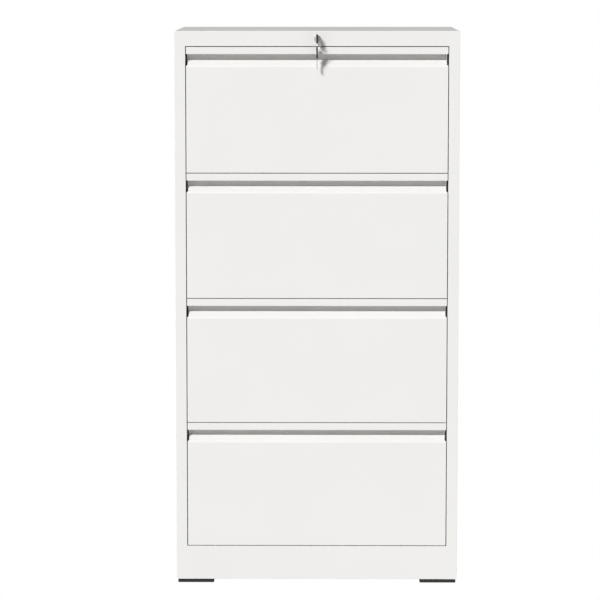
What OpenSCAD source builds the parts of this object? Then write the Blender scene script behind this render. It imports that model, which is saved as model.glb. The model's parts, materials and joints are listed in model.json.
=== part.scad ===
// Four-drawer lateral filing cabinet, folded sheet steel.
// Millimetres, +Z up, the drawers open toward -Y, +X is the right-hand side.
// The origin is under the middle of the overall box, key included.

/* [Cabinet body] */
// overall width of the steel body
cabinet_width = 676; // [520:1:1100]
// depth of the steel body, front face to back
cabinet_depth = 450; // [420:1:620]
// thickness of the body sheet
body_sheet = 1.2; // [0.8:0.1:2]
// visible width of the front edge of each side panel
stile_width = 25.5; // [22:0.5:40]
// how far the folded front edges turn back into the cabinet
edge_return = 20; // [12:1:22]
// height of the rail that carries the lock
top_rail_height = 36; // [32:1:60]
// height of the plinth under the lowest drawer
plinth_height = 81; // [40:1:120]
// width of the flanges folded in along the top and back edges
edge_flange = 16; // [10:1:24]
// width of the flange folded in along the bottom edge
bottom_flange = 42; // [36:1:60]

/* [Drawers] */
// height taken by each drawer, gap included
drawer_pitch = 300; // [240:1:340]
// gap round each drawer front
front_gap = 2; // [1.5:0.1:4]
// thickness of the drawer sheet
drawer_sheet = 1; // [0.8:0.1:1.5]
// space left above the tray walls, up to the next drawer
tray_headroom = 50; // [30:1:120]
// height of the tray floor above the bottom edge of the front
tray_lift = 14; // [8:1:30]
// clear space left behind a closed tray
tray_rear_space = 35; // [32:1:60]
// width of the rim folded in along the top of the tray
tray_rim = 9; // [6:0.5:14]

/* [Drawer front] */
// height of the flat strip above the finger pull
pull_strip_height = 17.2; // [12:0.1:24]
// height of the open slot under the strip
pull_opening = 14; // [12:0.5:24]
// height of the slope under the slot
pull_slope_height = 13.3; // [8:0.1:24]
// how far the slope leans back
pull_slope_depth = 15; // [8:0.5:18]
// depth of the finger pull behind the face
pull_depth = 23; // [20:0.5:30]
// how far the pull stops short of each end of the front
pull_end_notch = 3.5; // [2:0.5:8]
// width of the hem folded back under the strip
strip_hem = 3; // [2:0.5:6]

/* [Hanging rails] */
// height of each hanging rail
hang_rail_height = 20; // [12:1:30]
// thickness of each hanging rail
hang_rail_thickness = 3; // [2:0.5:5]
// distance of each hanging rail from its end of the tray
hang_rail_inset = 30; // [15:1:60]

/* [Drawer slides] */
// how much shorter the slides are than the cabinet is deep
slide_end_space = 50; // [45:1:90]
// how much of the slides' length stays engaged at full pull
slide_overlap = 20; // [15:1:80]
// thickness of a closed slide
slide_thickness = 12.7; // [11:0.1:16]
// height of a slide
slide_height = 45; // [36:1:60]
// sheet thickness of the slide members
slide_sheet = 1.2; // [1:0.1:1.6]
// ball space between neighbouring members
slide_ball_space = 3.6; // [2.5:0.1:4]
// height of the slide's centre above the tray floor
slide_centre_height = 70; // [40:1:100]
// depth of each upright post
upright_depth = 30; // [20:1:45]

/* [Lock] */
// distance of the lock's axis below the top
lock_drop = 18; // [15:0.5:26]
// diameter of the lock's bezel
bezel_diameter = 17.5; // [16:0.1:24]
// how far the bezel stands proud of the rail
bezel_height = 2.5; // [1:0.1:5]
// diameter of the lock barrel through the rail
barrel_diameter = 14; // [13:0.1:15.5]
// diameter of the turning plug
plug_diameter = 10.5; // [10:0.1:12]
// length of the barrel behind the rail's face
barrel_length = 22; // [18:0.5:24]
// diameter of the long shaft to the back
shaft_diameter = 5; // [4:0.5:8]
// distance from the shaft's axis to the crank pin
crank_radius = 12; // [10:0.5:12.5]
// diameter of the crank pin
crank_pin_diameter = 4; // [3:0.5:5]
// thickness of the lock bar and the crank
lock_bar_thickness = 2; // [1.5:0.1:3]
// height of each hook tooth on the lock bar
hook_height = 14; // [12:0.5:20]
// width of each hook tooth and of each catch it holds
hook_width = 15; // [10:0.5:20]

/* [Key] */
// length of the key's head
key_head_length = 26.5; // [20:0.5:32]
// width of the key's head
key_head_width = 22; // [18:0.5:28]
// thickness of the key's head
key_head_thickness = 3.6; // [2.5:0.1:5]
// length of the key's blade
key_blade_length = 24.5; // [20:0.5:26]
// width of the key's blade
key_blade_width = 7.5; // [6:0.1:8]
// thickness of the key's blade
key_blade_thickness = 2; // [1.5:0.1:2.4]
// width of the ring slot in the key's head
key_slot_width = 3.5; // [3:0.1:4]
// material left between the ring slot and the head's long edges
key_slot_margin = 2; // [1.5:0.1:3]
// distance of the ring slot from the head's outer end
key_slot_inset = 3.8; // [3.5:0.1:12]

/* [Feet] */
// width of each foot pad
foot_width = 86.5; // [60:0.5:110]
// depth of each foot pad
foot_depth = 60; // [40:1:100]
// height of each foot pad
foot_height = 9; // [7:0.5:20]
// how far each foot pad sits in from the body's sides
foot_inset = 3; // [0:0.5:12]

/* [Fasteners] */
// diameter of the feet's screws
foot_screw_diameter = 5; // [4:0.5:6]
// diameter of the small rivets and slide screws
rivet_diameter = 4; // [3:0.5:5]
// height of rivet and screw heads
rivet_head_height = 1.2; // [0.8:0.1:1.6]

/* [Clearances] */
// gap between a moving part and what it passes
running_gap = 0.3; // [0.3:0.05:0.6]
// radial gap of the plug in its barrel
plug_fit = 0.05; // [0.02:0.01:0.1]

/* [Hidden] */
drawer_count = 4;
curve_steps = 48;
small_steps = 24;

opening_half = cabinet_width / 2 - stile_width;
front_half = opening_half - front_gap;
body_bottom = foot_height;
first_gap = body_bottom + plinth_height + front_gap / 2;
top_gap = first_gap + drawer_count * drawer_pitch;
rail_bottom = top_gap + front_gap / 2;
cabinet_height = rail_bottom + top_rail_height;
top_underside = cabinet_height - body_sheet;
inner_half = cabinet_width / 2 - body_sheet;
front_height = drawer_pitch - front_gap;

lock_z = cabinet_height - lock_drop;

// the key stands out in front of the rail's face
key_shoulder = bezel_height + 1.2;
key_reach = key_shoulder + key_head_length;

// the overall box is centred on Y = 0
face_y = key_reach - (key_reach + cabinet_depth + rivet_head_height) / 2;
back_y = face_y + cabinet_depth;

// drawer front, measured down from its top edge
opening_top = pull_strip_height;
slope_top = opening_top + pull_opening;
slope_end = slope_top + pull_slope_height;

// tray and slides
slide_length = cabinet_depth - slide_end_space;
drawer_travel = slide_length - slide_overlap;
tray_height = drawer_pitch - tray_headroom;
tray_front = pull_depth + drawer_sheet;
tray_back = cabinet_depth - tray_rear_space;
tray_half = opening_half - slide_thickness;
slide_front = tray_front + 3;
slide_outer_half = slide_height / 2;
slide_middle_half = slide_outer_half - slide_sheet - slide_ball_space;
slide_inner_half = slide_middle_half - slide_sheet - slide_ball_space;
slide_middle_web = slide_sheet + 3.2;
slide_lip = 2;

// uprights
upright_front_1 = slide_front;
upright_front_2 = slide_front + slide_length - upright_depth;
top_flange_underside = top_underside - body_sheet;
floor_top = body_bottom + body_sheet;

// lock bar at the back
crank_offset = crank_radius * sin(45);
lock_lift = 2 * crank_offset;
crank_pin_slack = crank_radius * (1 - cos(45)) * 0.1 + 0.2;
bar_back = tray_rear_space / 2;
bar_front = cabinet_depth - bar_back;
bar_side_margin = 3;
bar_slot_left = -crank_radius - crank_pin_diameter / 2 - crank_pin_slack;
bar_slot_right = -crank_offset + crank_pin_diameter / 2 + crank_pin_slack;
bar_left = bar_slot_left - bar_side_margin;
bar_right = bar_slot_right + bar_side_margin;
bar_centre = (bar_left + bar_right) / 2;
bar_top = lock_z - crank_offset + crank_pin_diameter / 2 + crank_pin_slack + bar_side_margin;
crank_gap = 1.2;
shaft_end = bar_front - crank_gap;
catch_reach = tray_rear_space - bar_back - 3;
catch_height = tray_lift + tray_height - 60;
catch_lip = 11;
hook_setback = 6;
hook_headroom = 3.5;
bar_tail = 60;
bar_bottom = front_bottom(drawer_count) + catch_height - bar_tail;
guide_height = 22;
guide_wall = 2;

// the front strip's bottom edges per drawer, counted from the top
function front_bottom(k) = first_gap + (drawer_count - k) * drawer_pitch + front_gap / 2;
function front_top(k) = front_bottom(k) + front_height;
function tray_floor(k) = front_bottom(k) + tray_lift;
function slide_z(k) = tray_floor(k) + slide_centre_height;
function tray_top(k) = tray_floor(k) + tray_height;

paint = [0.93, 0.93, 0.92];
zinc = [0.72, 0.73, 0.75];
black = [0.13, 0.13, 0.13];
nickel = [0.80, 0.80, 0.82];

// ---------- helpers ----------

// a box given by its two x limits, two depths behind the face, and two heights
module block(x, d, z) {
  translate([min(x[0], x[1]), face_y + d[0], z[0]])
    cube([abs(x[1] - x[0]), d[1] - d[0], z[1] - z[0]]);
}

// an outline in (depth, height), swept along X between two limits
module sweep_x(x, points) {
  translate([x[0], face_y, 0])
    rotate([90, 0, 90])
      linear_extrude(x[1] - x[0]) polygon(points);
}

// repeats its child mirrored to the other side
module both_sides() {
  children();
  mirror([1, 0, 0]) children();
}

// a round bar along Y, from one depth to another
module rod_y(x, z, d, diameter, steps = curve_steps) {
  translate([x, face_y + d[0], z])
    rotate([-90, 0, 0]) cylinder(h = d[1] - d[0], d = diameter, $fn = steps);
}

// a domed head standing on the plane Z = 0
module rivet_head() {
  cylinder(h = rivet_head_height, d1 = rivet_diameter * 1.9, d2 = rivet_diameter * 1.2,
           $fn = small_steps);
}

// ---------- cabinet body ----------

module side_shell() {
  edge = cabinet_width / 2;
  difference() {
    block([opening_half, edge], [0, cabinet_depth], [body_bottom, top_underside]);
    // the hollow behind the front return
    block([opening_half - 1, inner_half], [edge_return, cabinet_depth - body_sheet],
          [body_bottom - 1, top_underside + 1]);
    // the hollow inside the front return
    block([opening_half + body_sheet, inner_half], [body_sheet, edge_return + 1],
          [body_bottom - 1, top_underside + 1]);
    // the back edge is a plain flange
    block([opening_half - 1, edge - edge_flange],
          [cabinet_depth - 2 * body_sheet, cabinet_depth + 1],
          [body_bottom - 1, top_underside + 1]);
  }
  block([edge - bottom_flange, inner_half], [edge_return + 1, cabinet_depth - body_sheet],
        [body_bottom, floor_top]);
  block([edge - edge_flange, inner_half], [edge_return + 1, cabinet_depth - body_sheet],
        [top_flange_underside, top_underside]);
}

module side_panel_right() {
  color(paint) side_shell();
}

module side_panel_left() {
  color(paint) mirror([1, 0, 0]) side_shell();
}

module top_panel() {
  color(paint)
    block([-cabinet_width / 2, cabinet_width / 2], [0, cabinet_depth],
          [top_underside, cabinet_height]);
}

// channel that closes the front between the stiles, with the lock hole
module top_rail() {
  s = body_sheet;
  up = rail_bottom + 10;
  color(paint) difference() {
    sweep_x([-opening_half, opening_half], [
      [0, rail_bottom], [edge_return + 2, rail_bottom], [edge_return + 2, up],
      [edge_return + 2 - s, up], [edge_return + 2 - s, rail_bottom + s],
      [s, rail_bottom + s], [s, top_underside], [0, top_underside]
    ]);
    rod_y(0, lock_z, [-1, s + 1], barrel_diameter);
  }
}

module back_panel() {
  s = body_sheet;
  color(paint)
    block([-inner_half, inner_half], [cabinet_depth - 2 * s, cabinet_depth - s],
          [floor_top, top_flange_underside]);
}

// floor sheet with a flange up at the front and at the back
module base_panel() {
  s = body_sheet;
  up = floor_top + 38;
  back = cabinet_depth - 2 * s;
  color(paint) sweep_x([-opening_half, opening_half], [
    [s, floor_top], [back, floor_top], [back, up], [back - s, up],
    [back - s, floor_top + s], [2 * s, floor_top + s], [2 * s, up], [s, up]
  ]);
}

module plinth() {
  s = body_sheet;
  top = body_bottom + plinth_height;
  color(paint) sweep_x([-opening_half, opening_half], [
    [0, body_bottom], [edge_return, body_bottom], [edge_return, body_bottom + s],
    [s, body_bottom + s], [s, top - s], [edge_return, top - s],
    [edge_return, top], [0, top]
  ]);
}

// four channel posts that carry the slides
module uprights() {
  s = body_sheet;
  color(zinc) both_sides() for (start = [upright_front_1, upright_front_2])
    difference() {
      block([opening_half, inner_half], [start, start + upright_depth],
            [floor_top, top_flange_underside]);
      block([opening_half + s, inner_half + 1], [start + s, start + upright_depth - s],
            [floor_top - 1, top_flange_underside + 1]);
    }
}

// ---------- feet ----------

foot_outer = cabinet_width / 2 - foot_inset;
foot_centre_x = foot_outer - foot_width / 2;
foot_centre_d = foot_inset + foot_depth / 2;
foot_depths = [foot_centre_d, cabinet_depth - foot_centre_d];
foot_screw_x = cabinet_width / 2 - bottom_flange / 2;
foot_screw_gap = 0.05;
foot_pocket = foot_height - 4;
foot_screw_head = 2 * foot_screw_diameter;
foot_screw_head_height = 2.5;
foot_corner = 2.5;

module feet() {
  a = foot_width / 2;
  b = foot_depth / 2;
  cut = foot_corner;
  color(black) both_sides() for (d = foot_depths)
    translate([0, face_y + d, 0]) difference() {
      translate([foot_centre_x, 0, 0]) linear_extrude(foot_height)
        polygon([
          [cut - a, -b], [a - cut, -b], [a, cut - b], [a, b - cut],
          [a - cut, b], [cut - a, b], [-a, b - cut], [-a, cut - b]
        ]);
      translate([foot_screw_x, 0, -1])
        cylinder(h = foot_pocket + 1, d = foot_screw_head + 2, $fn = curve_steps);
      translate([foot_screw_x, 0, -1])
        cylinder(h = foot_height + 2, d = foot_screw_diameter + 2 * foot_screw_gap,
                 $fn = curve_steps);
    }
}

module foot_screws() {
  color(zinc) both_sides() for (d = foot_depths)
    translate([foot_screw_x, face_y + d, 0]) {
      difference() {
        translate([0, 0, foot_pocket - foot_screw_head_height])
          cylinder(h = foot_screw_head_height, d = foot_screw_head, $fn = curve_steps);
        translate([0, 0, foot_pocket - foot_screw_head_height - 1])
          cylinder(h = foot_screw_head_height, d = foot_screw_diameter * 0.9, $fn = 6);
      }
      translate([0, 0, foot_pocket])
        cylinder(h = body_bottom - foot_pocket, d = foot_screw_diameter,
                 $fn = curve_steps);
    }
}

// ---------- body fasteners ----------

// pop rivets that hold the side panels' back flanges to the back panel
rivet_rows = 6;

module carcass_rivets() {
  x = cabinet_width / 2 - edge_flange / 2;
  low = body_bottom + 60;
  step = (top_underside - 60 - low) / (rivet_rows - 1);
  color(paint) both_sides() for (i = [0 : rivet_rows - 1])
    translate([x, back_y, low + i * step])
      rotate([-90, 0, 0]) rivet_head();
}

module slide_screws() {
  color(zinc) both_sides()
    for (k = [1 : drawer_count], start = [upright_front_1, upright_front_2])
      translate([opening_half - slide_sheet, face_y + start + upright_depth / 2, slide_z(k)])
        rotate([0, -90, 0]) rivet_head();
}

// ---------- drawer slides ----------

// one channel member for the right side: web at one width, flanges toward the tray
module slide_channel(web_from, web_to, flange_to, half, depths, z) {
  s = slide_sheet;
  block([web_to, web_from], depths, [z - half, z + half]);
  for (side = [1, -1])
    block([flange_to, web_from], depths,
          side > 0 ? [z + half - s, z + half] : [z - half, z - half + s]);
}

module slide_outer(k) {
  a = opening_half;
  color(zinc) both_sides()
    slide_channel(a, a - slide_sheet, a - slide_thickness + slide_lip, slide_outer_half,
                  [slide_front, slide_front + slide_length], slide_z(k));
}

module slide_middle(k) {
  a = opening_half - slide_middle_web;
  color(zinc) both_sides()
    slide_channel(a, a - slide_sheet, opening_half - slide_thickness + slide_lip,
                  slide_middle_half,
                  [slide_front, slide_front + slide_length], slide_z(k));
}

module slide_inner(k) {
  s = slide_sheet;
  color(zinc) both_sides() {
    slide_channel(tray_half, tray_half + s, tray_half + 5.5, slide_inner_half,
                  [slide_front, slide_front + slide_length - 15], slide_z(k));
  }
}

// ---------- drawers ----------

// folded outer skin of a drawer front, finger pull included
module drawer_front(k) {
  s = drawer_sheet;
  top = front_top(k);
  bottom = front_bottom(k);
  back = pull_depth;
  fold = s * pull_slope_depth / pull_slope_height;
  color(paint) difference() {
    union() {
      // face, slope, pull floor, pull back, top edge, strip and hem in one outline
      sweep_x([-front_half, front_half], [
        [0, bottom], [edge_return, bottom], [edge_return, bottom + s], [s, bottom + s],
        [s, top - slope_end - fold / 2],
        [pull_slope_depth + s / 2, top - slope_top - s], [back, top - slope_top - s],
        [back, top], [0, top], [0, top - opening_top],
        [strip_hem, top - opening_top], [strip_hem, top - opening_top + s],
        [s, top - opening_top + s], [s, top - s], [back - s, top - s],
        [back - s, top - slope_top], [pull_slope_depth, top - slope_top],
        [0, top - slope_end]
      ]);
      both_sides() block([front_half - s, front_half], [0, edge_return],
                         [bottom, top - slope_end]);
      // end walls of the finger pull
      both_sides() block([front_half - pull_end_notch - s, front_half - pull_end_notch],
                         [0, back], [top - slope_end - s, top]);
    }
    // notch at each end of the pull
    both_sides() block([front_half - pull_end_notch, front_half + 1], [-1, back + 1],
                       [top - slope_end, top - opening_top + 1.5]);
    both_sides() block([front_half - pull_end_notch, front_half + 1], [s, back + 1],
                       [top - slope_end, top - s]);
    // the end walls follow the slope instead of filling the opening
    both_sides() sweep_x([front_half - pull_end_notch - 2 * s, front_half + 1], [
      [-1, top - slope_end - s], [-0.001, top - slope_end - s], [0, top - slope_end],
      [pull_slope_depth, top - slope_top], [0, top - opening_top], [-1, top - opening_top]
    ]);
  }
}

// inner skin that stiffens the front and closes the drawer
module drawer_liner(k) {
  s = drawer_sheet;
  top = front_top(k);
  bottom = front_bottom(k);
  edge = front_half - s;
  color(paint) {
    block([-edge, edge], [pull_depth, pull_depth + s], [bottom + s, top - s]);
    both_sides() block([edge - s, edge], [8, pull_depth], [bottom + s, top - slope_end - 8]);
    block([-edge + s, edge - s], [8, pull_depth], [bottom + s, bottom + 2 * s]);
  }
}

module drawer_tray(k) {
  s = drawer_sheet;
  low = tray_floor(k);
  high = tray_top(k);
  color(paint) {
    difference() {
      block([-tray_half, tray_half], [tray_front, tray_back], [low, high]);
      block([-tray_half + s, tray_half - s], [tray_front - 1, tray_back - s],
            [low + s, high - s]);
      block([-tray_half + tray_rim, tray_half - tray_rim], [tray_front - 1, tray_back - tray_rim],
            [high - 2 * s, high + 1]);
    }
  }
}

// two bars for hanging folders, with their end tabs
module hang_rails(k) {
  s = drawer_sheet;
  high = tray_top(k) - s;
  low = high - hang_rail_height;
  half = tray_half - s;
  color(zinc) for (d = [tray_front + hang_rail_inset, tray_back - hang_rail_inset]) {
    block([-half, half], [d - hang_rail_thickness / 2, d + hang_rail_thickness / 2],
          [low, high]);
    both_sides() block([half - 2, half], [d - 12, d + 12], [low, high]);
  }
}

// screws through each inner slide member into the tray
module drawer_screws(k) {
  color(zinc) both_sides()
    for (d = [40, slide_length / 2, slide_length - 60])
      translate([tray_half + slide_sheet, face_y + slide_front + d, slide_z(k)])
        rotate([0, 90, 0]) rivet_head();
}

// angled catch on the back of the tray that the lock bar's tooth holds
module drawer_catch(k) {
  s = 1.5;
  z = front_bottom(k) + catch_height;
  x = [bar_centre - hook_width / 2, bar_centre + hook_width / 2];
  end = tray_back + catch_reach;
  color(zinc) {
    block(x, [tray_back, tray_back + s], [z - 26, z]);
    block(x, [tray_back, end], [z - s, z]);
    block(x, [end - s, end], [z - catch_lip - s, z]);
  }
}

// ---------- lock ----------

module lock_barrel() {
  color(nickel) difference() {
    union() {
      rod_y(0, lock_z, [-bezel_height, 0], bezel_diameter);
      rod_y(0, lock_z, [0, barrel_length], barrel_diameter);
    }
    rod_y(0, lock_z, [-bezel_height - 1, barrel_length + 1], plug_diameter + 2 * plug_fit);
  }
}

module lock_nut() {
  color(zinc) difference() {
    rod_y(0, lock_z, [body_sheet, body_sheet + 5], barrel_diameter + 6, 6);
    rod_y(0, lock_z, [0, body_sheet + 6], barrel_diameter);
  }
}

plug_end = barrel_length + 4;
keyway_end = key_blade_length - key_shoulder + 1;

module lock_plug() {
  wide = key_blade_thickness + 2 * running_gap;
  tall = key_blade_width + 2 * running_gap;
  color(nickel) difference() {
    rod_y(0, lock_z, [-bezel_height, plug_end], plug_diameter);
    block([-wide / 2, wide / 2], [-bezel_height - 1, keyway_end],
          [lock_z - tall / 2, lock_z + tall / 2]);
  }
}

module lock_shaft() {
  color(zinc) rod_y(0, lock_z, [plug_end, shaft_end - lock_bar_thickness], shaft_diameter);
}

// crank arm with its pin, held at 45 degrees down to the left when unlocked
module lock_crank() {
  t = lock_bar_thickness;
  wide = crank_pin_diameter + 4;
  color(zinc) {
    translate([0, face_y + shaft_end - t, lock_z]) rotate([0, -45, 0]) {
      translate([-crank_radius, 0, -wide / 2]) cube([crank_radius, t, wide]);
      rotate([-90, 0, 0]) cylinder(h = t, d = wide, $fn = curve_steps);
      translate([-crank_radius, 0, 0]) rotate([-90, 0, 0])
        cylinder(h = t, d = wide, $fn = curve_steps);
      translate([-crank_radius, t, 0]) rotate([-90, 0, 0])
        cylinder(h = crank_gap + t + 1, d = crank_pin_diameter, $fn = curve_steps);
    }
  }
}

// upright bar, slotted for the crank pin
module lock_bar() {
  t = lock_bar_thickness;
  slot_middle = lock_z - crank_offset;
  slot_half = crank_pin_diameter / 2 + crank_pin_slack;
  color(zinc) difference() {
    block([bar_left, bar_right], [bar_front, bar_front + t], [bar_bottom, bar_top]);
    block([bar_slot_left, bar_slot_right], [bar_front - 1, bar_front + t + 1],
          [slot_middle - slot_half, slot_middle + slot_half]);
  }
}

// one angled hook behind each drawer, fixed to the front of the lock bar
module lock_hooks() {
  t = lock_bar_thickness;
  x = [bar_centre - hook_width / 2, bar_centre + hook_width / 2];
  tooth = tray_back + hook_setback;
  color(zinc) for (k = [1 : drawer_count]) {
    top = front_bottom(k) + catch_height - hook_headroom - lock_lift;
    block(x, [tooth, bar_front], [top - hook_height, top - hook_height + t]);
    block(x, [tooth, tooth + t], [top - hook_height, top]);
  }
}

// three plastic blocks on the back panel that keep the lock bar upright
module lock_guides() {
  g = running_gap;
  w = guide_wall;
  color(black) for (k = [1 : drawer_count - 1]) {
    z = front_bottom(k) + 40;
    difference() {
      block([bar_left - g - w, bar_right + g + w],
            [bar_front - g - w, cabinet_depth - 2 * body_sheet], [z, z + guide_height]);
      block([bar_left - g, bar_right + g],
            [bar_front - g, bar_front + lock_bar_thickness + g],
            [z - 1, z + guide_height + 1]);
    }
  }
}

// ---------- key ----------

// a key lying along +X from its blade's tip to its head, flat in X and Z
module key_shape() {
  corner = 5;
  tip = key_blade_width / 2;
  half = key_head_width / 2;
  slot_x = key_blade_length + key_head_length - key_slot_inset;
  slot_run = half - key_slot_margin - key_slot_width / 2;
  rotate([90, 0, 0]) {
    translate([0, 0, -key_blade_thickness / 2]) linear_extrude(key_blade_thickness)
      polygon([
        [0, -0.8], [0, 0.8], [2, tip], [key_blade_length + 3, tip],
        [key_blade_length + 3, -tip], [20, -tip], [19, -tip + 1.2], [17.5, -tip + 0.4],
        [15, -tip + 1.6], [12.5, -tip + 0.3], [10, -tip + 1.4], [7.5, -tip + 0.4],
        [5, -tip + 1.5], [2.5, -tip + 0.6]
      ]);
    difference() {
      translate([key_blade_length, 0, -key_head_thickness / 2])
        linear_extrude(key_head_thickness) union() {
          translate([0, -half + corner]) square([key_head_length, key_head_width - 2 * corner]);
          translate([corner, -half]) square([key_head_length - 2 * corner, key_head_width]);
          for (x = [corner, key_head_length - corner], y = [corner - half, half - corner])
            translate([x, y]) circle(r = corner, $fn = curve_steps);
        }
      for (y = [slot_run, -slot_run])
        translate([slot_x, y, -key_head_thickness])
          cylinder(h = 2 * key_head_thickness, d = key_slot_width, $fn = small_steps);
      translate([slot_x - key_slot_width / 2, -slot_run, -key_head_thickness])
        cube([key_slot_width, 2 * slot_run, 2 * key_head_thickness]);
    }
  }
}

// the key stands in the lock with its head upright
module key() {
  tip = key_blade_length - key_shoulder;
  color(black) translate([0, face_y + tip, lock_z]) rotate([0, 0, -90]) key_shape();
}

// ---------- output ----------

side_panel_left();
side_panel_right();
top_panel();
top_rail();
back_panel();
base_panel();
plinth();
uprights();
feet();
foot_screws();
carcass_rivets();
slide_screws();
lock_guides();
lock_barrel();
lock_nut();
slide_outer(1);  // slide_outer_1
slide_outer(2);  // slide_outer_2
slide_outer(3);  // slide_outer_3
slide_outer(4);  // slide_outer_4
slide_middle(1);  // slide_middle_1
slide_middle(2);  // slide_middle_2
slide_middle(3);  // slide_middle_3
slide_middle(4);  // slide_middle_4
slide_inner(1);  // slide_inner_1
slide_inner(2);  // slide_inner_2
slide_inner(3);  // slide_inner_3
slide_inner(4);  // slide_inner_4
drawer_front(1);  // drawer_front_1
drawer_front(2);  // drawer_front_2
drawer_front(3);  // drawer_front_3
drawer_front(4);  // drawer_front_4
drawer_liner(1);  // drawer_liner_1
drawer_liner(2);  // drawer_liner_2
drawer_liner(3);  // drawer_liner_3
drawer_liner(4);  // drawer_liner_4
drawer_tray(1);  // drawer_tray_1
drawer_tray(2);  // drawer_tray_2
drawer_tray(3);  // drawer_tray_3
drawer_tray(4);  // drawer_tray_4
hang_rails(1);  // hang_rails_1
hang_rails(2);  // hang_rails_2
hang_rails(3);  // hang_rails_3
hang_rails(4);  // hang_rails_4
drawer_screws(1);  // drawer_screws_1
drawer_screws(2);  // drawer_screws_2
drawer_screws(3);  // drawer_screws_3
drawer_screws(4);  // drawer_screws_4
drawer_catch(1);  // drawer_catch_1
drawer_catch(2);  // drawer_catch_2
drawer_catch(3);  // drawer_catch_3
drawer_catch(4);  // drawer_catch_4
lock_plug();
lock_shaft();
lock_crank();
lock_bar();
lock_hooks();
key();
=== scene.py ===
# %% [markdown]
# A tall steel cabinet for hanging files, with four wide drawers and one lock. The moving
# parts come from the exact model that the frame holds. This lesson puts the painted skin,
# the feet, the lock and the keys over it, sheet by sheet, and then lights the result.

# %% Load the frame
import json
import math
import bmesh
import bpy
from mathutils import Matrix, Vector


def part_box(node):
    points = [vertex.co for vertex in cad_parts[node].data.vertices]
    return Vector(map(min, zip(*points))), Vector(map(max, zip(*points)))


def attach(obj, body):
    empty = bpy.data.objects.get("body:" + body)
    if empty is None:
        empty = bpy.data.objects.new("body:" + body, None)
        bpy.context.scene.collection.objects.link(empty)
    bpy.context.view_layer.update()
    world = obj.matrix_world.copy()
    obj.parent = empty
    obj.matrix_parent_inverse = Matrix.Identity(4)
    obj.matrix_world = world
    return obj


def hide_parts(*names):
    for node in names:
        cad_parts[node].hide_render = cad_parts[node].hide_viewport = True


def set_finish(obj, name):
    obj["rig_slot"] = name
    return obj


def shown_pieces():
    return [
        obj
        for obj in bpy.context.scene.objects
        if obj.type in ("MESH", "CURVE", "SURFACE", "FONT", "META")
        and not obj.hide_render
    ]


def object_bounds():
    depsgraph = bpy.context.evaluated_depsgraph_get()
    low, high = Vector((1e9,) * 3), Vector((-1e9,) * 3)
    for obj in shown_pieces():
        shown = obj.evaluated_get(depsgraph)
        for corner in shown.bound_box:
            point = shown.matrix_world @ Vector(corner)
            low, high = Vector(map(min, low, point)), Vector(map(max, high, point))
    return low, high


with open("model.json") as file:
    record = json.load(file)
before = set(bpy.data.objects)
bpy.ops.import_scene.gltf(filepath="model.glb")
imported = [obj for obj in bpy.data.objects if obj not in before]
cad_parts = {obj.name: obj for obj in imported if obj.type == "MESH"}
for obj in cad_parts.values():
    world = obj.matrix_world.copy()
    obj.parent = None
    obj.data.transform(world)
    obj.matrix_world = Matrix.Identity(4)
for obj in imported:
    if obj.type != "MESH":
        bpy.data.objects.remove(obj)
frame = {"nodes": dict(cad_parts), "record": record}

start_low, start_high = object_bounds()
print("box in metres:", [round(v, 4) for v in start_high - start_low])

# %% [markdown]
# Every size is read off the exact pieces, so a change there carries through to the skin.
# The front skin's box gives the face plane and the body's panels give the outer corners.

# %% Read the sizes
MM = 0.001
front_low, front_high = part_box("drawer_front_1")
left_low, left_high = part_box("side_panel_left")
right_low, right_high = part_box("side_panel_right")
top_low, top_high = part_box("top_panel")
rail_low, rail_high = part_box("top_rail")
plinth_low, plinth_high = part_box("plinth")
face_y, back_y = left_low.y, left_high.y
half_width = right_high.x
drawer_step = front_low.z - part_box("drawer_front_2")[0].z
print("face at", round(face_y, 4), "drawers", round(drawer_step, 4), "apart")

# %% [markdown]
# The painted parts are all folded from flat sheet. On the bench a flange is bent up along
# a line, so here a flat rectangle gets a new strip along an edge for every bend. These
# helpers keep that short: one picks edges by place, one folds, one rounds the bends, and
# one gives the sheet its thickness.

# %% Helpers for folded sheet
def clear():
    """leave edit mode with nothing selected"""
    if bpy.context.object and bpy.context.object.mode == "EDIT":
        bpy.ops.object.mode_set(mode="OBJECT")
    bpy.ops.object.select_all(action="DESELECT")


def sheet(name, centre, size, turn):
    """a flat rectangle standing at its place, left in edit mode"""
    clear()
    bpy.ops.mesh.primitive_plane_add(size=1, location=centre, rotation=turn)
    piece = bpy.context.object
    piece.name = name
    piece.scale = (size[0], size[1], 1)
    bpy.ops.object.transform_apply(location=True, rotation=True, scale=True)
    bpy.ops.object.mode_set(mode="EDIT")
    return piece


def pick(test, kind="EDGE"):
    """select the corners, edges or faces whose middle passes the test"""
    bpy.ops.mesh.select_mode(type=kind)
    bpy.ops.mesh.select_all(action="DESELECT")
    mesh = bmesh.from_edit_mesh(bpy.context.object.data)
    parts = {"VERT": mesh.verts, "EDGE": mesh.edges, "FACE": mesh.faces}[kind]
    count = 0
    for part in parts:
        if kind == "VERT":
            middle = part.co
        else:
            middle = sum((v.co for v in part.verts), Vector()) / len(part.verts)
        if test(middle):
            part.select_set(True)
            count += 1
    bmesh.update_edit_mesh(bpy.context.object.data)
    return count


def near(a, b):
    return abs(a - b) < 1e-5


def fold(test, *moves):
    """bend a new strip off the picked edges for each move"""
    pick(test)
    for move in moves:
        bpy.ops.mesh.extrude_region_move(TRANSFORM_OT_translate={"value": move})


def round_folds(radius, steps=4):
    """round every bend that is still sharp"""
    bpy.ops.mesh.select_mode(type="EDGE")
    bpy.ops.mesh.select_all(action="DESELECT")
    bpy.ops.mesh.edges_select_sharp(sharpness=math.radians(25))
    bpy.ops.mesh.bevel(offset=radius, segments=steps, affect="EDGES")


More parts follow.
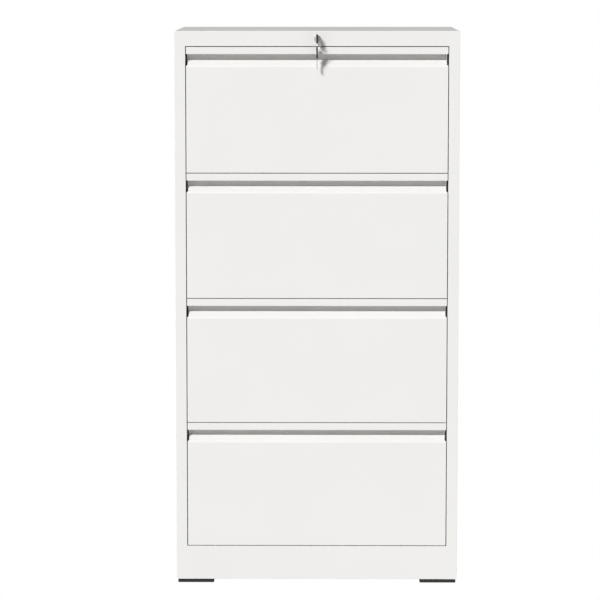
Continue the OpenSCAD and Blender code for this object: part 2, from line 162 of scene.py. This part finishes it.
def turn_outward(outward):
    """make the widest face look outward and the rest agree with it"""
    bpy.ops.mesh.select_all(action="SELECT")
    bpy.ops.mesh.normals_make_consistent(inside=False)
    mesh = bmesh.from_edit_mesh(bpy.context.object.data)
    widest = max(mesh.faces, key=lambda f: f.calc_area())
    if widest.normal.dot(Vector(outward)) < 0:
        bpy.ops.mesh.flip_normals()


def apply_modifier(piece, kind, **settings):
    modifier = piece.modifiers.new(kind.title(), kind)
    for key, value in settings.items():
        setattr(modifier, key, value)
    bpy.ops.object.modifier_apply(modifier=modifier.name)


def only(piece):
    """select one piece and make it the active one"""
    clear()
    piece.select_set(True)
    bpy.context.view_layer.objects.active = piece


def smooth(piece):
    """shade the bends smoothly and keep the flats flat"""
    only(piece)
    bpy.ops.object.shade_smooth_by_angle(angle=math.radians(35))
    apply_modifier(piece, "WEIGHTED_NORMAL", mode="FACE_AREA", weight=100, keep_sharp=True)
    bpy.ops.object.select_all(action="DESELECT")


def soften(piece, width=0.2 * MM, steps=1):
    """break the cut edges a little, then smooth"""
    only(piece)
    apply_modifier(piece, "BEVEL", width=width, segments=steps,
                   limit_method="ANGLE", angle_limit=math.radians(45))
    smooth(piece)


def take_away(piece, cutter):
    """cut the cutter's shape out of the piece, then throw the cutter away"""
    only(piece)
    apply_modifier(piece, "BOOLEAN", object=cutter, operation="DIFFERENCE", solver="EXACT")
    bpy.data.objects.remove(cutter)


def thicken(piece, thickness, outward):
    """give the folded sheet its thickness, inward from the outer skin"""
    turn_outward(outward)
    bpy.ops.object.mode_set(mode="OBJECT")
    apply_modifier(piece, "SOLIDIFY", thickness=thickness, offset=-1, use_even_offset=True)
    soften(piece, 0.15 * MM)
    print(piece.name, len(piece.data.polygons), "faces")


def join_all(pieces):
    """make one piece of several, named after the first"""
    clear()
    for piece in pieces:
        piece.select_set(True)
    bpy.context.view_layer.objects.active = pieces[0]
    bpy.ops.object.join()


def copy_of(piece, name, move):
    """a copy with a mesh of its own, moved and left with its origin at zero"""
    only(piece)
    bpy.ops.object.duplicate(linked=False)
    twin = bpy.context.object
    twin.name = name
    bpy.ops.transform.translate(value=move)
    bpy.ops.object.transform_apply(location=True, rotation=False, scale=False)
    return twin

# %% [markdown]
# The drawer front is one long sheet. Its flat face leans back into a slope under the
# finger pull, runs on as the floor and back of the pull, and comes forward again over the
# top to a strip that hangs down in front. Fingers go in between the strip and the slope.
# It is folded here in the same order, starting from the flat face. The thickness goes on
# behind the face, which is outside the hollow, so the hollow is drawn one sheet smaller.

# %% Flat face and the finger pull
BACK_TO_FRONT = (math.pi / 2, 0, 0)
SKIN = 1 * MM
strip_height, opening, slope_height = 17.2 * MM, 14 * MM, 13.3 * MM
slope_depth, pull_depth, end_notch, hem = 15 * MM, 23 * MM, 3.5 * MM, 3 * MM
back_wall = pull_depth - SKIN
half = front_high.x
pull_half = half - end_notch
slope_z = front_high.z - strip_height - opening - slope_height
front = sheet("drawer_skin_1", (0, face_y, (front_low.z + slope_z) / 2),
              (2 * half, slope_z - front_low.z), BACK_TO_FRONT)
for x in (-pull_half, pull_half):
    bpy.ops.mesh.select_all(action="SELECT")
    bpy.ops.mesh.bisect(plane_co=(x, 0, 0), plane_no=(1, 0, 0))
fold(lambda m: near(m.z, slope_z) and abs(m.x) < pull_half - MM,
     (0, slope_depth, slope_height), (0, back_wall - slope_depth, 0),
     (0, 0, strip_height + opening - SKIN), (0, SKIN - back_wall, 0),
     (0, 0, 2 * SKIN - strip_height), (0, hem - SKIN, 0))
print("pull folded,", round((front_high.z - slope_z) / MM, 1), "mm tall")

# %% [markdown]
# The strip and the top edge run a little past the pull at both ends, to the full width of
# the drawer. The face has a return at each side and along the bottom, which makes it stiff.

# %% Ends and returns
strip_z = front_high.z - strip_height
return_depth = 20 * MM
for side in (-1, 1):
    fold(lambda m: near(m.x, side * pull_half) and m.z > strip_z + 2 * MM
         and m.y < face_y + back_wall - 2 * MM, (side * end_notch, 0, 0))
    fold(lambda m: near(m.x, side * half) and m.z < slope_z, (0, return_depth, 0))
fold(lambda m: near(m.z, front_low.z) and near(m.y, face_y), (0, return_depth, 0))
pick(lambda m: near(m.z, slope_z) and abs(m.x) < pull_half - MM)
bpy.ops.mesh.bevel(offset=3.5 * MM, segments=5, affect="EDGES")
round_folds(0.3 * MM, 3)

# %% [markdown]
# A small wall closes each end of the pull, set in from the side so that it clears the
# frame. It is cut to the hollow's outline and left open in front of the slope.

# %% End walls of the pull
thicken(front, SKIN, (0, -1, 0))
walls = [front]
for side in (-1, 1):
    wall = sheet("pull_wall", (side * (pull_half - 0.1 * MM), face_y + pull_depth / 2,
                 front_high.z - (strip_height + opening) / 2),
                 (pull_depth - 1 * MM, strip_height + opening - 1 * MM),
                 (math.pi / 2, 0, side * math.pi / 2))
    # the lower front corner is cut back to where the slope begins
    bpy.ops.mesh.select_all(action="SELECT")
    bpy.ops.mesh.bisect(plane_co=(0, face_y + slope_depth, front_high.z - strip_height - opening),
                        plane_no=(0, -opening, -slope_depth), clear_outer=True)
    thicken(wall, 0.9 * MM, (side, 0, 0))
    walls.append(wall)
join_all(walls)
skins = [front]
for k in (2, 3, 4):
    skins.append(copy_of(front, f"drawer_skin_{k}", (0, 0, (1 - k) * drawer_step)))
for k, skin in enumerate(skins, 1):
    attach(skin, f"drawer_{k}")
    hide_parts(f"drawer_front_{k}")
    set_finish(skin, "front_paint")
print(len(skins), "drawer skins")

# %% [markdown]
# Each side of the body is a sheet with its front edge folded twice, which makes the
# upright beside the drawers, and with a flange at the back, top and bottom.

# %% Side shells
SHEET = 1.2 * MM
pan_depth = 5 * MM
side_top = top_high.z - SHEET - 0.3 * MM
set_in, sheet_round = 0.02 * MM, 0.45 * MM
flange, foot_flange = 16 * MM, 42 * MM
stile = half_width - rail_high.x
wall_x, wall_y = half_width - set_in, face_y + set_in
for side, node in ((-1, "side_panel_left"), (1, "side_panel_right")):
    shell = sheet(node.replace("panel", "shell"),
                  (side * wall_x, (wall_y + back_y) / 2, (left_low.z + side_top) / 2),
                  (back_y - wall_y, side_top - left_low.z), (math.pi / 2, 0, side * math.pi / 2))
    fold(lambda m: near(m.y, wall_y), (-side * (stile - set_in), 0, 0), (0, return_depth, 0))
    fold(lambda m: near(m.y, back_y), (-side * flange, 0, 0))
    fold(lambda m: near(m.z, side_top) and near(abs(m.x), wall_x), (-side * flange, 0, 0))
    fold(lambda m: near(m.z, left_low.z) and near(abs(m.x), wall_x), (-side * foot_flange, 0, 0))
    round_folds(sheet_round)
    thicken(shell, SHEET, (side, 0, 0))
    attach(shell, "cabinet")
    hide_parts(node)
    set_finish(shell, "body_paint")

# %% [markdown]
# The top is a shallow tray turned over, with its rim folded down all round. Its long
# edges are rounded more than the bends in the sides, as a pressed lid would be.

# %% Top
lid = sheet("top_lid", (0, (face_y + back_y) / 2, top_high.z),
            (2 * half_width, back_y - face_y), (0, 0, 0))
bpy.ops.mesh.select_mode(type="EDGE")
bpy.ops.mesh.select_all(action="SELECT")
bpy.ops.mesh.extrude_region_move(TRANSFORM_OT_translate={"value": (0, 0, -pan_depth)})
pick(lambda m: near(m.z, top_high.z - pan_depth), "FACE")  # the underside is open
bpy.ops.mesh.delete(type="ONLY_FACE")
round_folds(2.4 * MM, 6)
thicken(lid, SHEET, (0, 0, 1))
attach(lid, "cabinet")
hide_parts("top_panel")
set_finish(lid, "body_paint")

# %% [markdown]
# A rail carries the lock above the drawers and a plinth closes the front below them. Both
# are channels set flush between the uprights. They reach a little behind the rounded edge
# of the upright, as the weld and the paint fill that corner and leave no line.

# %% Rail and plinth
weld, rail_return, rail_lip = 1 * MM, 22 * MM, 10 * MM
skin_y = face_y + 2 * set_in
rail = sheet("lock_rail", (0, skin_y, (rail_low.z + side_top) / 2),
             (2 * (rail_high.x + weld), side_top - rail_low.z), BACK_TO_FRONT)
fold(lambda m: near(m.z, rail_low.z), (0, rail_return, 0), (0, 0, rail_lip))
round_folds(sheet_round)
thicken(rail, SHEET, (0, -1, 0))
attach(rail, "cabinet")
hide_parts("top_rail")
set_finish(rail, "body_paint")

kick = sheet("kick_plate", (0, skin_y, (plinth_low.z + plinth_high.z) / 2),
             (2 * (rail_high.x + weld), plinth_high.z - plinth_low.z), BACK_TO_FRONT)
fold(lambda m: near(m.z, plinth_high.z), (0, return_depth, 0))
fold(lambda m: near(m.z, plinth_low.z), (0, return_depth, 0))
round_folds(sheet_round)
thicken(kick, SHEET, (0, -1, 0))
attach(kick, "cabinet")
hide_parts("plinth")
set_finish(kick, "body_paint")

# %% [markdown]
# The cabinet stands on four low moulded pads. Each is a thick plate with rounded corners,
# and a sunk pocket below, so that it stands on its rim.

# %% Feet
feet_low, feet_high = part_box("feet")
foot_size = (86.5 * MM, 60 * MM, feet_high.z)
pocket_depth = 1 * MM
foot_x, foot_y = feet_high.x - foot_size[0] / 2, feet_low.y + foot_size[1] / 2
clear()
bpy.ops.mesh.primitive_cube_add(size=1, location=(foot_x, foot_y, foot_size[2] / 2))
pad = bpy.context.object
pad.name = "foot_pads"
pad.scale = foot_size
bpy.ops.object.transform_apply(location=True, rotation=True, scale=True)
bpy.ops.object.mode_set(mode="EDIT")
pick(lambda m: near(m.z, foot_size[2] / 2))
bpy.ops.mesh.bevel(offset=3 * MM, segments=5, affect="EDGES")
pick(lambda m: near(m.z, 0), "FACE")
bpy.ops.mesh.inset(thickness=2 * MM)
bpy.ops.mesh.inset(thickness=0.3 * MM)
bpy.ops.transform.translate(value=(0, 0, pocket_depth))
bpy.ops.object.mode_set(mode="OBJECT")
soften(pad, 0.3 * MM, 2)
pads = [pad]
for x, y in ((-1, 1), (1, -1), (-1, -1)):
    pads.append(copy_of(pad, "foot_copy", ((x - 1) * foot_x, (feet_high.y + feet_low.y) / 2 * (1 - y)
                - foot_y * (1 - y), 0)))
join_all(pads)
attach(pad, "cabinet")
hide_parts("feet")
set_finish(pad, "black_plastic")
print("feet reach", round(max(v.co.x for v in pad.data.vertices), 4))

# %% [markdown]
# The lock is two turned pieces. The barrel has a thin rim in front of the rail and a sleeve
# behind it, with a bore right through. The plug fills the bore, turns with the key and has
# the slot that the blade goes into. The rail is bored first, a little wider than the sleeve.

# %% Lock barrel
rim_low, rim_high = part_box("lock_barrel")
plug_low, plug_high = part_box("lock_plug")
lock_z = (rim_low.z + rim_high.z) / 2
plug_radius, rim_radius, sleeve_radius = plug_high.x, rim_high.x, 7 * MM
bore = plug_radius + 0.05 * MM
ALONG_Y = (math.pi / 2, 0, 0)


def turned(name, radius, front_y, rear_y, steps=64):
    """a round bar along Y, left in edit mode"""
    clear()
    bpy.ops.mesh.primitive_cylinder_add(vertices=steps, radius=radius, depth=rear_y - front_y,
                                        location=(0, (front_y + rear_y) / 2, lock_z),
                                        rotation=ALONG_Y)
    piece = bpy.context.object
    piece.name = name
    bpy.ops.object.transform_apply(location=True, rotation=True, scale=True)
    bpy.ops.object.mode_set(mode="EDIT")
    return piece


drill = turned("drill", sleeve_radius + 0.1 * MM, face_y - 2 * MM, face_y + 4 * MM)
take_away(rail, drill)
smooth(rail)
barrel = turned("lock_sleeve", rim_radius, rim_low.y, face_y)
pick(lambda m: near(m.y, rim_low.y), "FACE")
bpy.ops.mesh.inset(thickness=rim_radius - bore)
pick(lambda m: near(m.y, face_y), "FACE")
bpy.ops.mesh.inset(thickness=rim_radius - sleeve_radius)
bpy.ops.mesh.extrude_region_move(TRANSFORM_OT_translate={"value": (0, rim_high.y - face_y, 0)})
bpy.ops.mesh.inset(thickness=sleeve_radius - bore)
ends = pick(lambda m: near(m.x, 0) and near(m.z, lock_z), "FACE")
bpy.ops.mesh.bridge_edge_loops()
bpy.ops.object.mode_set(mode="OBJECT")
soften(barrel, 0.35 * MM, 3)
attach(barrel, "cabinet")
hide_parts("lock_barrel")
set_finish(barrel, "nickel")
print("joined", ends, "ends, rim", round(2 * rim_radius / MM, 1), "mm across")

# %% [markdown]
# A block as wide and as deep as the slot is taken away from the plug.

# %% Lock plug
def bar(name, low, high):
    """a block between two corners, left in edit mode"""
    clear()
    low, high = Vector(low), Vector(high)
    bpy.ops.mesh.primitive_cube_add(size=1, location=(low + high) / 2)
    piece = bpy.context.object
    piece.name = name
    piece.scale = high - low
    bpy.ops.object.transform_apply(location=True, rotation=True, scale=True)
    bpy.ops.object.mode_set(mode="EDIT")
    return piece


plug = turned("plug_body", plug_radius, plug_low.y, plug_high.y)
slot_half, slot_rise, slot_reach = 1.3 * MM, 4.05 * MM, 21.8 * MM
keyway = bar("keyway", (-slot_half, plug_low.y - MM, lock_z - slot_rise),
             (slot_half, face_y + slot_reach, lock_z + slot_rise))
take_away(plug, keyway)
soften(plug, 0.2 * MM, 2)
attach(plug, "lock_core")
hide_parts("lock_plug")
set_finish(plug, "nickel")
print("plug", len(plug.data.polygons), "faces")

# %% [markdown]
# The key has a moulded black head around a steel blade. The head is a rounded plate with a
# slot across its outer end for the ring, and the slot is cut by a second, narrower block.

# %% Key
key_low, key_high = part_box("key")
head_width, head_thick = 22 * MM, 3.6 * MM
head_length, blade_length = 26.5 * MM, 24.5 * MM
blade_width, blade_thick = 7.5 * MM, 2 * MM
slot_width, slot_run, slot_inset = 3.5 * MM, 9 * MM, 3.8 * MM
head_y = key_low.y + head_length
head = bar("key_head", (-head_thick / 2, key_low.y, lock_z - head_width / 2),
           (head_thick / 2, head_y, lock_z + head_width / 2))
pick(lambda m: near(m.x, 0))
bpy.ops.mesh.bevel(offset=5 * MM, segments=6, affect="EDGES")
bpy.ops.object.mode_set(mode="OBJECT")
slot_y = key_low.y + slot_inset
cutter = bar("slot_cutter", (-5 * MM, slot_y - slot_width / 2, lock_z - slot_run),
             (5 * MM, slot_y + slot_width / 2, lock_z + slot_run))
pick(lambda m: near(m.x, 0))
bpy.ops.mesh.bevel(offset=slot_width / 2 - 0.02 * MM, segments=5, affect="EDGES")
take_away(head, cutter)
soften(head, 0.5 * MM, 3)
print("head", len(head.data.polygons), "faces")

# %% [markdown]
# The blade is a blank with a groove pressed in each side. A cutter takes a row of steps out
# of its lower edge. Here the edge is divided and its corners are raised by each step's depth.

# %% Blade
blade = bar("key_blade", (-blade_thick / 2, head_y - 1 * MM, lock_z - blade_width / 2),
            (blade_thick / 2, head_y + blade_length, lock_z + blade_width / 2))
for step in range(1, 9):
    bpy.ops.mesh.select_all(action="SELECT")
    bpy.ops.mesh.bisect(plane_co=(0, head_y + (5 + 2.1 * step) * MM, 0), plane_no=(0, 1, 0))
for step, depth in ((2, 1.4), (3, 0.5), (4, 1.7), (5, 0.6), (6, 1.5), (7, 0.4)):
    place = head_y + (5 + 2.1 * step) * MM
    pick(lambda m: near(m.y, place) and m.z < lock_z - blade_width / 2 + MM, "VERT")
    bpy.ops.transform.translate(value=(0, 0, depth * MM))
pick(lambda m: near(m.y, head_y + blade_length) and abs(m.z - lock_z) > MM, "VERT")
bpy.ops.transform.resize(value=(0.8, 1, 0.3), center_override=(0, head_y + blade_length, lock_z))
pick(lambda m: near(abs(m.x), blade_thick / 2), "FACE")
bpy.ops.mesh.inset(thickness=1.6 * MM, depth=-0.35 * MM)
bpy.ops.object.mode_set(mode="OBJECT")
soften(blade, 0.15 * MM, 2)
print("blade", len(blade.data.polygons), "faces")

# %% [markdown]
# A split ring is two turns of spring wire. A small circle is swept round twice and moved
# along by one wire at each turn, and its two ends are closed.

# %% Split ring
ring_radius, wire = 7.5 * MM, 0.75 * MM
ring_z = lock_z - 7.95 * MM - ring_radius
clear()
bpy.ops.mesh.primitive_circle_add(vertices=16, radius=wire * 0.98, fill_type="NOTHING",
                                  location=(ring_radius, 0, 0), rotation=(0, 0, 0))
ring = bpy.context.object
ring.name = "key_ring"
bpy.ops.object.transform_apply(location=True, rotation=True, scale=True)
bpy.ops.object.mode_set(mode="EDIT")
bpy.ops.mesh.select_all(action="SELECT")
bpy.ops.transform.rotate(value=math.pi / 2, orient_axis="X", center_override=(ring_radius, 0, 0))
bpy.ops.object.mode_set(mode="OBJECT")
apply_modifier(ring, "SCREW", axis="Z", angle=2 * math.pi * 2.02, steps=128, render_steps=128,
               screw_offset=1.55 * MM * 2, use_merge_vertices=False)
bpy.ops.object.mode_set(mode="EDIT")
bpy.ops.mesh.select_all(action="SELECT")
bpy.ops.mesh.fill_holes(sides=0)
bpy.ops.mesh.select_all(action="SELECT")
bpy.ops.mesh.normals_make_consistent(inside=False)
bpy.ops.transform.rotate(value=math.pi / 2, orient_axis="X", center_override=(0, 0, 0))
bpy.ops.object.mode_set(mode="OBJECT")
ring_middle = sum((v.co.y for v in ring.data.vertices)) / len(ring.data.vertices)
bpy.ops.transform.translate(value=(0, slot_y - ring_middle, ring_z))
bpy.ops.object.transform_apply(location=True, rotation=True, scale=True)
bpy.ops.object.shade_smooth_by_angle(angle=math.radians(60))
print("ring spans y", round(min(v.co.y for v in ring.data.vertices), 5),
      round(max(v.co.y for v in ring.data.vertices), 5))

# %% [markdown]
# The spare is a copy of the first key that hangs from the ring with its blade down. Both
# hang on the ring through the slots of their heads.

# %% Spare key
spare_parts = []
spare_y = key_low.y + head_width / 2
spare_top = lock_z - 19.9 * MM
for part in (head, blade):
    spare = copy_of(part, part.name.replace("key", "spare"), (0, 0, 0))
    bpy.ops.object.mode_set(mode="EDIT")
    bpy.ops.mesh.select_all(action="SELECT")
    bpy.ops.transform.translate(value=(0, -key_low.y, -lock_z))
    bpy.ops.transform.rotate(value=math.pi / 2, orient_axis="X", center_override=(0, 0, 0))
    low_side = min(v.co.z for v in bmesh.from_edit_mesh(spare.data).verts)
    if low_side > -10 * MM:
        bpy.ops.transform.rotate(value=math.pi, orient_axis="X", center_override=(0, 0, 0))
    bpy.ops.transform.translate(value=(0, spare_y, spare_top))
    bpy.ops.object.mode_set(mode="OBJECT")
    spare_parts.append(spare)
for piece in [ring, head, blade] + spare_parts:
    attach(piece, "key_in_lock")
for piece in (head, spare_parts[0]):
    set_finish(piece, "key_black")
for piece in (blade, spare_parts[1]):
    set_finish(piece, "zinc_steel")
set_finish(ring, "nickel")
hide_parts("key")
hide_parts("key")
for spare in spare_parts:
    low, high = spare.bound_box[0], spare.bound_box[6]
    print(spare.name, [round(v, 4) for v in low], [round(v, 4) for v in high])

# %% [markdown]
# Finishes are patterns worked out in the piece's own space. Three effects are shared by
# several finishes, so each is a group: the fine orange peel of powder paint, the drawn
# streaks in plated steel, and a little dust on what faces up.

# %% Shared patterns
def group(name, inputs, outputs):
    made = bpy.data.node_groups.new(name, "ShaderNodeTree")
    for label, kind, value in inputs:
        socket = made.interface.new_socket(label, in_out="INPUT", socket_type=kind)
        if value is not None:
            socket.default_value = value
    for label in outputs:
        made.interface.new_socket(label, in_out="OUTPUT", socket_type="NodeSocketFloat")
    return made, made.nodes.new("NodeGroupInput"), made.nodes.new("NodeGroupOutput")


def noise(tree, scale, detail=3.0, vector=None):
    node = tree.nodes.new("ShaderNodeTexNoise")
    node.inputs["Scale"].default_value = scale
    node.inputs["Detail"].default_value = detail
    if vector is not None:
        tree.links.new(vector, node.inputs["Vector"])
    return node


def to_range(tree, value, low, high):
    node = tree.nodes.new("ShaderNodeMapRange")
    node.inputs["From Min"].default_value = 0.3
    node.inputs["From Max"].default_value = 0.7
    node.inputs["To Min"].default_value = low
    node.inputs["To Max"].default_value = high
    tree.links.new(value, node.inputs["Value"])
    return node.outputs["Result"]


peel, peel_in, peel_out = group("orange_peel", [("Vector", "NodeSocketVector", None)],
                                ["Height", "Mottle"])
fine = noise(peel, 900, 2.0, peel_in.outputs["Vector"])
wide = noise(peel, 5, 3.0, peel_in.outputs["Vector"])
peel.links.new(fine.outputs["Fac"], peel_out.inputs["Height"])
peel.links.new(wide.outputs["Fac"], peel_out.inputs["Mottle"])

streak, streak_in, streak_out = group("drawn_streaks", [("Vector", "NodeSocketVector", None)],
                                      ["Height", "Patches"])
squeeze = streak.nodes.new("ShaderNodeMapping")
squeeze.inputs["Scale"].default_value = (600, 25, 600)
streak.links.new(streak_in.outputs["Vector"], squeeze.inputs["Vector"])
lines = noise(streak, 1.0, 4.0, squeeze.outputs["Vector"])
spangle = noise(streak, 60, 2.0, streak_in.outputs["Vector"])
streak.links.new(lines.outputs["Fac"], streak_out.inputs["Height"])
streak.links.new(spangle.outputs["Fac"], streak_out.inputs["Patches"])

dust, dust_in, dust_out = group("light_dust", [("Vector", "NodeSocketVector", None),
                                ("Amount", "NodeSocketFloat", 0.1)], ["Mask"])
facing = dust.nodes.new("ShaderNodeNewGeometry")
split = dust.nodes.new("ShaderNodeSeparateXYZ")
dust.links.new(facing.outputs["Normal"], split.inputs["Vector"])
specks = noise(dust, 35, 5.0, dust_in.outputs["Vector"])
both = dust.nodes.new("ShaderNodeMath")
both.operation = "MULTIPLY"
both.use_clamp = True
dust.links.new(split.outputs["Z"], both.inputs[0])
dust.links.new(specks.outputs["Fac"], both.inputs[1])
scaled = dust.nodes.new("ShaderNodeMath")
scaled.operation = "MULTIPLY"
dust.links.new(both.outputs[0], scaled.inputs[0])
dust.links.new(dust_in.outputs["Amount"], scaled.inputs[1])
dust.links.new(scaled.outputs[0], dust_out.inputs["Mask"])
print("patterns:", [g.name for g in bpy.data.node_groups])

# %% [markdown]
# Powder paint is a soft satin with a faint peel and almost no change of colour over a wide
# panel. Plated steel is brighter and streaked. Moulded black plastic has a fine grain.

# %% Finishes
def finish(name, light, dark, metal, rough, pattern, height, bump, dusty=0.0, extra=None):
    """a finish that drifts between two colours and two roughnesses over its pattern"""
    mat = bpy.data.materials.new(name)
    mat.use_nodes = True
    tree = mat.node_tree
    shader = tree.nodes["Principled BSDF"]
    place = tree.nodes.new("ShaderNodeTexCoord").outputs["Object"]
    effect = tree.nodes.new("ShaderNodeGroup")
    effect.node_tree = pattern
    tree.links.new(place, effect.inputs["Vector"])
    patch = effect.outputs[1]
    mix = tree.nodes.new("ShaderNodeMix")
    mix.data_type = "RGBA"
    mix.inputs[6].default_value = (*dark, 1)
    mix.inputs[7].default_value = (*light, 1)
    tree.links.new(to_range(tree, patch, 0.0, 1.0), mix.inputs[0])
    colour = mix.outputs[2]
    if dusty:
        layer = tree.nodes.new("ShaderNodeGroup")
        layer.node_tree = dust
        layer.inputs["Amount"].default_value = dusty
        tree.links.new(place, layer.inputs["Vector"])
        over = tree.nodes.new("ShaderNodeMix")
        over.data_type = "RGBA"
        over.inputs[7].default_value = (0.55, 0.54, 0.52, 1)
        tree.links.new(layer.outputs["Mask"], over.inputs[0])
        tree.links.new(colour, over.inputs[6])
        colour = over.outputs[2]
    tree.links.new(colour, shader.inputs["Base Color"])
    tree.links.new(to_range(tree, patch, *rough), shader.inputs["Roughness"])
    shader.inputs["Metallic"].default_value = metal
    for key, value in (extra or {}).items():
        shader.inputs[key].default_value = value
    relief = tree.nodes.new("ShaderNodeBump")
    relief.inputs["Strength"].default_value = bump
    relief.inputs["Distance"].default_value = height
    tree.links.new(effect.outputs["Height"], relief.inputs["Height"])
    tree.links.new(relief.outputs["Normal"], shader.inputs["Normal"])
    return mat


finishes = {
    "body_paint": finish("body_paint", (0.865, 0.857, 0.841), (0.852, 0.844, 0.828), 0.0,
                         (0.42, 0.5), peel, 0.02 * MM, 0.25, dusty=0.06,
                         extra={"Specular IOR Level": 0.35}),
    "front_paint": finish("front_paint", (0.867, 0.859, 0.843), (0.855, 0.847, 0.831), 0.0,
                          (0.4, 0.48), peel, 0.02 * MM, 0.25, dusty=0.04,
                          extra={"Specular IOR Level": 0.35}),
    "zinc_steel": finish("zinc_steel", (0.66, 0.67, 0.69), (0.52, 0.53, 0.56), 0.9,
                         (0.28, 0.42), streak, 0.05 * MM, 0.3),
    "nickel": finish("nickel", (0.92, 0.91, 0.89), (0.84, 0.83, 0.82), 0.75,
                     (0.42, 0.55), streak, 0.02 * MM, 0.2),
    "black_plastic": finish("black_plastic", (0.034, 0.033, 0.032), (0.022, 0.022, 0.022), 0.0,
                            (0.55, 0.66), peel, 0.05 * MM, 0.4, dusty=0.1,
                            extra={"Specular IOR Level": 0.3}),
    "key_black": finish("key_black", (0.014, 0.014, 0.015), (0.008, 0.008, 0.009), 0.0,
                        (0.5, 0.62), peel, 0.03 * MM, 0.3,
                        extra={"Specular IOR Level": 0.25}),
}
slot_of = {row["node"]: row["material_slot"] for row in frame["record"]["subparts"]}
for node, obj in frame["nodes"].items():
    obj.data.materials.clear()
    obj.data.materials.append(finishes[slot_of[node]])
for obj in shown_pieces():
    if obj.get("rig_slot") in finishes and obj.name not in slot_of:
        obj.data.materials.clear()
        obj.data.materials.append(finishes[obj["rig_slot"]])
print(len(finishes), "finishes")

# %% [markdown]
# A studio for plain goods: a white room that fills the shadows, and one broad lamp high on
# the left that gives the strips their soft shade. The floor looks white to the camera and
# still throws light up at the object.

# %% Room and floor
def seen_white(tree, lit, shader, out):
    """what the camera meets directly is plain white, and light rays meet the lit one"""
    path = tree.nodes.new("ShaderNodeLightPath")
    white = tree.nodes.new(shader)
    white.inputs["Color"].default_value = (1, 1, 1, 1)
    white.inputs["Strength"].default_value = 1.0
    mix = tree.nodes.new("ShaderNodeMixShader")
    tree.links.new(path.outputs["Is Camera Ray"], mix.inputs[0])
    tree.links.new(lit.outputs[0], mix.inputs[1])
    tree.links.new(white.outputs[0], mix.inputs[2])
    tree.links.new(mix.outputs[0], out.inputs["Surface"])


world = bpy.data.worlds.new("white_room")
bpy.context.scene.world = world
world.use_nodes = True
room = world.node_tree.nodes["Background"]
room.inputs["Color"].default_value = (1, 1, 1, 1)
room_light, floor_light = 0.24, 0.51
room.inputs["Strength"].default_value = room_light
seen_white(world.node_tree, room, "ShaderNodeBackground", world.node_tree.nodes["World Output"])

clear()
bpy.ops.mesh.primitive_plane_add(size=300, location=(0, 0, 0))
floor = bpy.context.object
floor.name = "floor"
paper = bpy.data.materials.new("lit_paper")
paper.use_nodes = True
tree = paper.node_tree
tree.nodes.remove(tree.nodes["Principled BSDF"])
glow = tree.nodes.new("ShaderNodeEmission")
glow.inputs["Strength"].default_value = floor_light
seen_white(tree, glow, "ShaderNodeEmission", tree.nodes["Material Output"])
floor.data.materials.append(paper)
print("room", room_light, "floor", floor_light)

# %% [markdown]
# One wide lamp gives the object its form. It is bright on the slopes that face up, weak on
# those that face down, and wide enough for soft edges on the shadows of the keys.

# %% Lamp
bpy.ops.object.light_add(type="SUN", location=(-3, -4, 4))
sun = bpy.context.object
sun.name = "broad_lamp"
shines_along = Vector((0.62, 1, -0.8))
sun.rotation_euler = shines_along.to_track_quat("-Z", "Y").to_euler()
sun.data.energy = 2.86
sun.data.angle = math.radians(13)
print("lamp", round(sun.data.energy, 2))

# %% [markdown]
# The camera stands well back with a long lens and a little above the top, so that the front
# stays square and the top shows as a thin band.

# %% Camera
bpy.ops.object.camera_add(location=(0.0223, face_y - 6.8246, start_low.z + 1.4857),
                          rotation=(math.pi / 2 - 0.1164, 0, 0.0092))
camera = bpy.context.object
camera.data.lens = 172.55
camera.data.sensor_width = 36
camera.data.clip_end = 100
bpy.context.scene.camera = camera
bpy.context.scene.view_settings.view_transform = "Standard"
bpy.context.scene.view_settings.look = "None"
print("lens", camera.data.lens)
